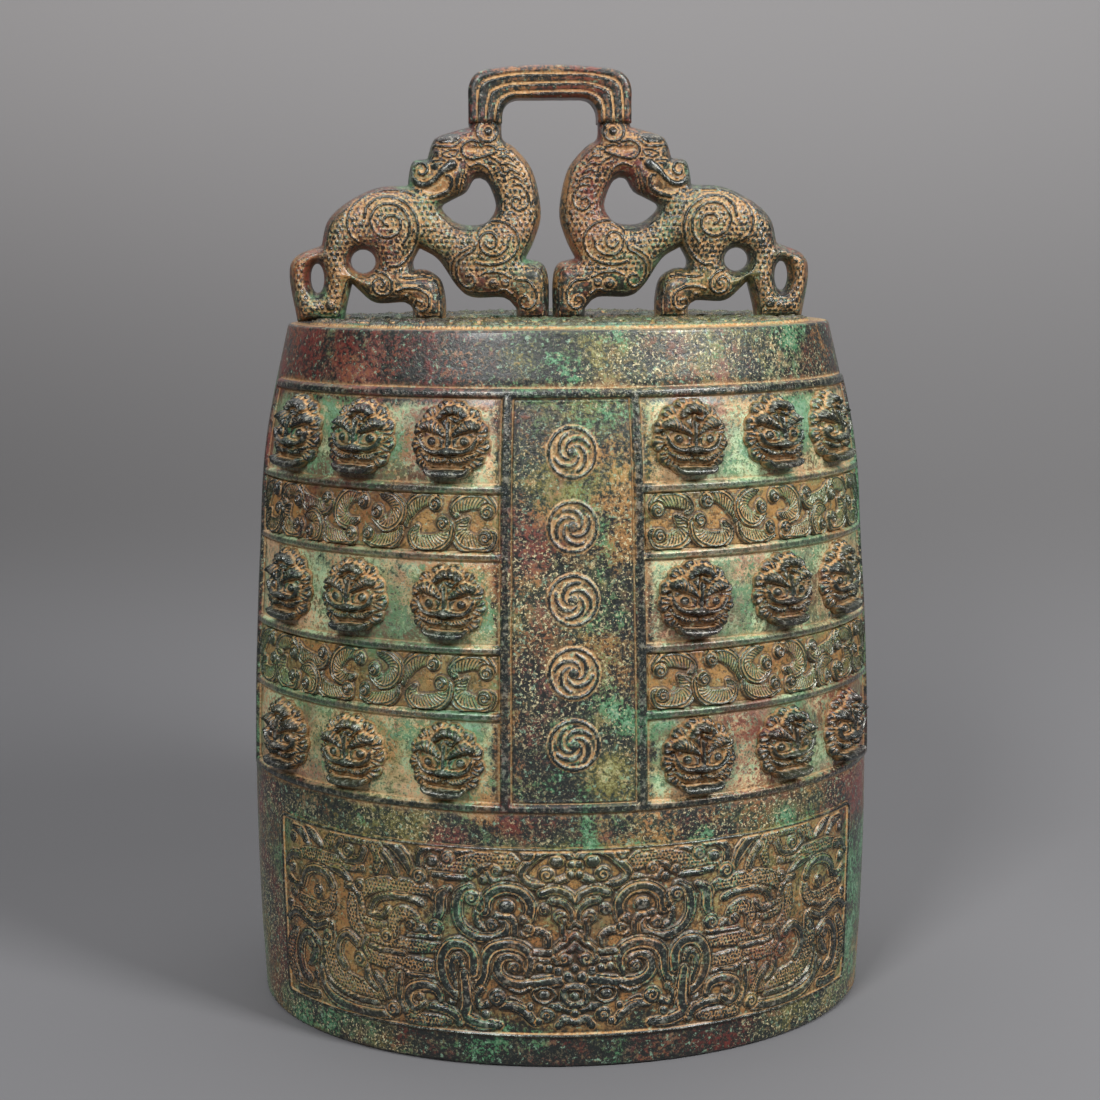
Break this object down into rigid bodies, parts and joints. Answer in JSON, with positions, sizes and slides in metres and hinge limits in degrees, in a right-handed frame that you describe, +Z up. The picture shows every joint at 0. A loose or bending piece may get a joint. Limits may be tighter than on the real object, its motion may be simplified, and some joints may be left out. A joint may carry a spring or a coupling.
{
  "type": "bronze zhong bell",
  "caption": "Oval barrel-shaped hanging bell with a flat mouth, lion-mask bosses, scroll bands and a dragon handle; struck from outside.",
  "frame": {"origin": "middle of the bell's mouth, on the plane of its rim", "axes": "+Z up through the handle, +X to the right of the front face, the front face looks along -Y"},
  "size_m": [0.3042, 0.2416, 0.45],
  "materials": {
    "shell": "patinated bronze: dark worn high spots, malachite green, red-brown and ochre dust",
    "relief": "patinated bronze with ochre dust in its recesses and dark worn ridges",
    "boss": "dark patinated bronze with green and ochre in its recesses",
    "handle": "brown and dark patinated bronze with ochre dust in its recesses"
  },
  "bodies": {
    "root": {"bell_body": "shell", "boss_front_left_bottom_1": "boss", "boss_front_left_bottom_2": "boss", "boss_front_left_bottom_3": "boss", "boss_front_left_middle_1": "boss", "boss_front_left_middle_2": "boss", "boss_front_left_middle_3": "boss", "boss_front_left_top_1": "boss", "boss_front_left_top_2": "boss", "boss_front_left_top_3": "boss", "boss_front_right_bottom_1": "boss", "boss_front_right_bottom_2": "boss", "boss_front_right_bottom_3": "boss", "boss_front_right_middle_1": "boss", "boss_front_right_middle_2": "boss", "boss_front_right_middle_3": "boss", "boss_front_right_top_1": "boss", "boss_front_right_top_2": "boss", "boss_front_right_top_3": "boss", "boss_rear_left_bottom_1": "boss", "boss_rear_left_bottom_2": "boss", "boss_rear_left_bottom_3": "boss", "boss_rear_left_middle_1": "boss", "boss_rear_left_middle_2": "boss", "boss_rear_left_middle_3": "boss", "boss_rear_left_top_1": "boss", "boss_rear_left_top_2": "boss", "boss_rear_left_top_3": "boss", "boss_rear_right_bottom_1": "boss", "boss_rear_right_bottom_2": "boss", "boss_rear_right_bottom_3": "boss", "boss_rear_right_middle_1": "boss", "boss_rear_right_middle_2": "boss", "boss_rear_right_middle_3": "boss", "boss_rear_right_top_1": "boss", "boss_rear_right_top_2": "boss", "boss_rear_right_top_3": "boss", "scroll_band_front_left_lower": "relief", "scroll_band_front_left_upper": "relief", "scroll_band_front_right_lower": "relief", "scroll_band_front_right_upper": "relief", "centre_panel_front": "relief", "relief_panel_front": "relief", "crown_relief_front": "relief", "scroll_band_rear_left_lower": "relief", "scroll_band_rear_left_upper": "relief", "scroll_band_rear_right_lower": "relief", "scroll_band_rear_right_upper": "relief", "centre_panel_rear": "relief", "relief_panel_rear": "relief", "crown_relief_rear": "relief", "dragon_left": "handle", "dragon_right": "handle", "handle_arch": "handle"}
  },
  "joints": []
}
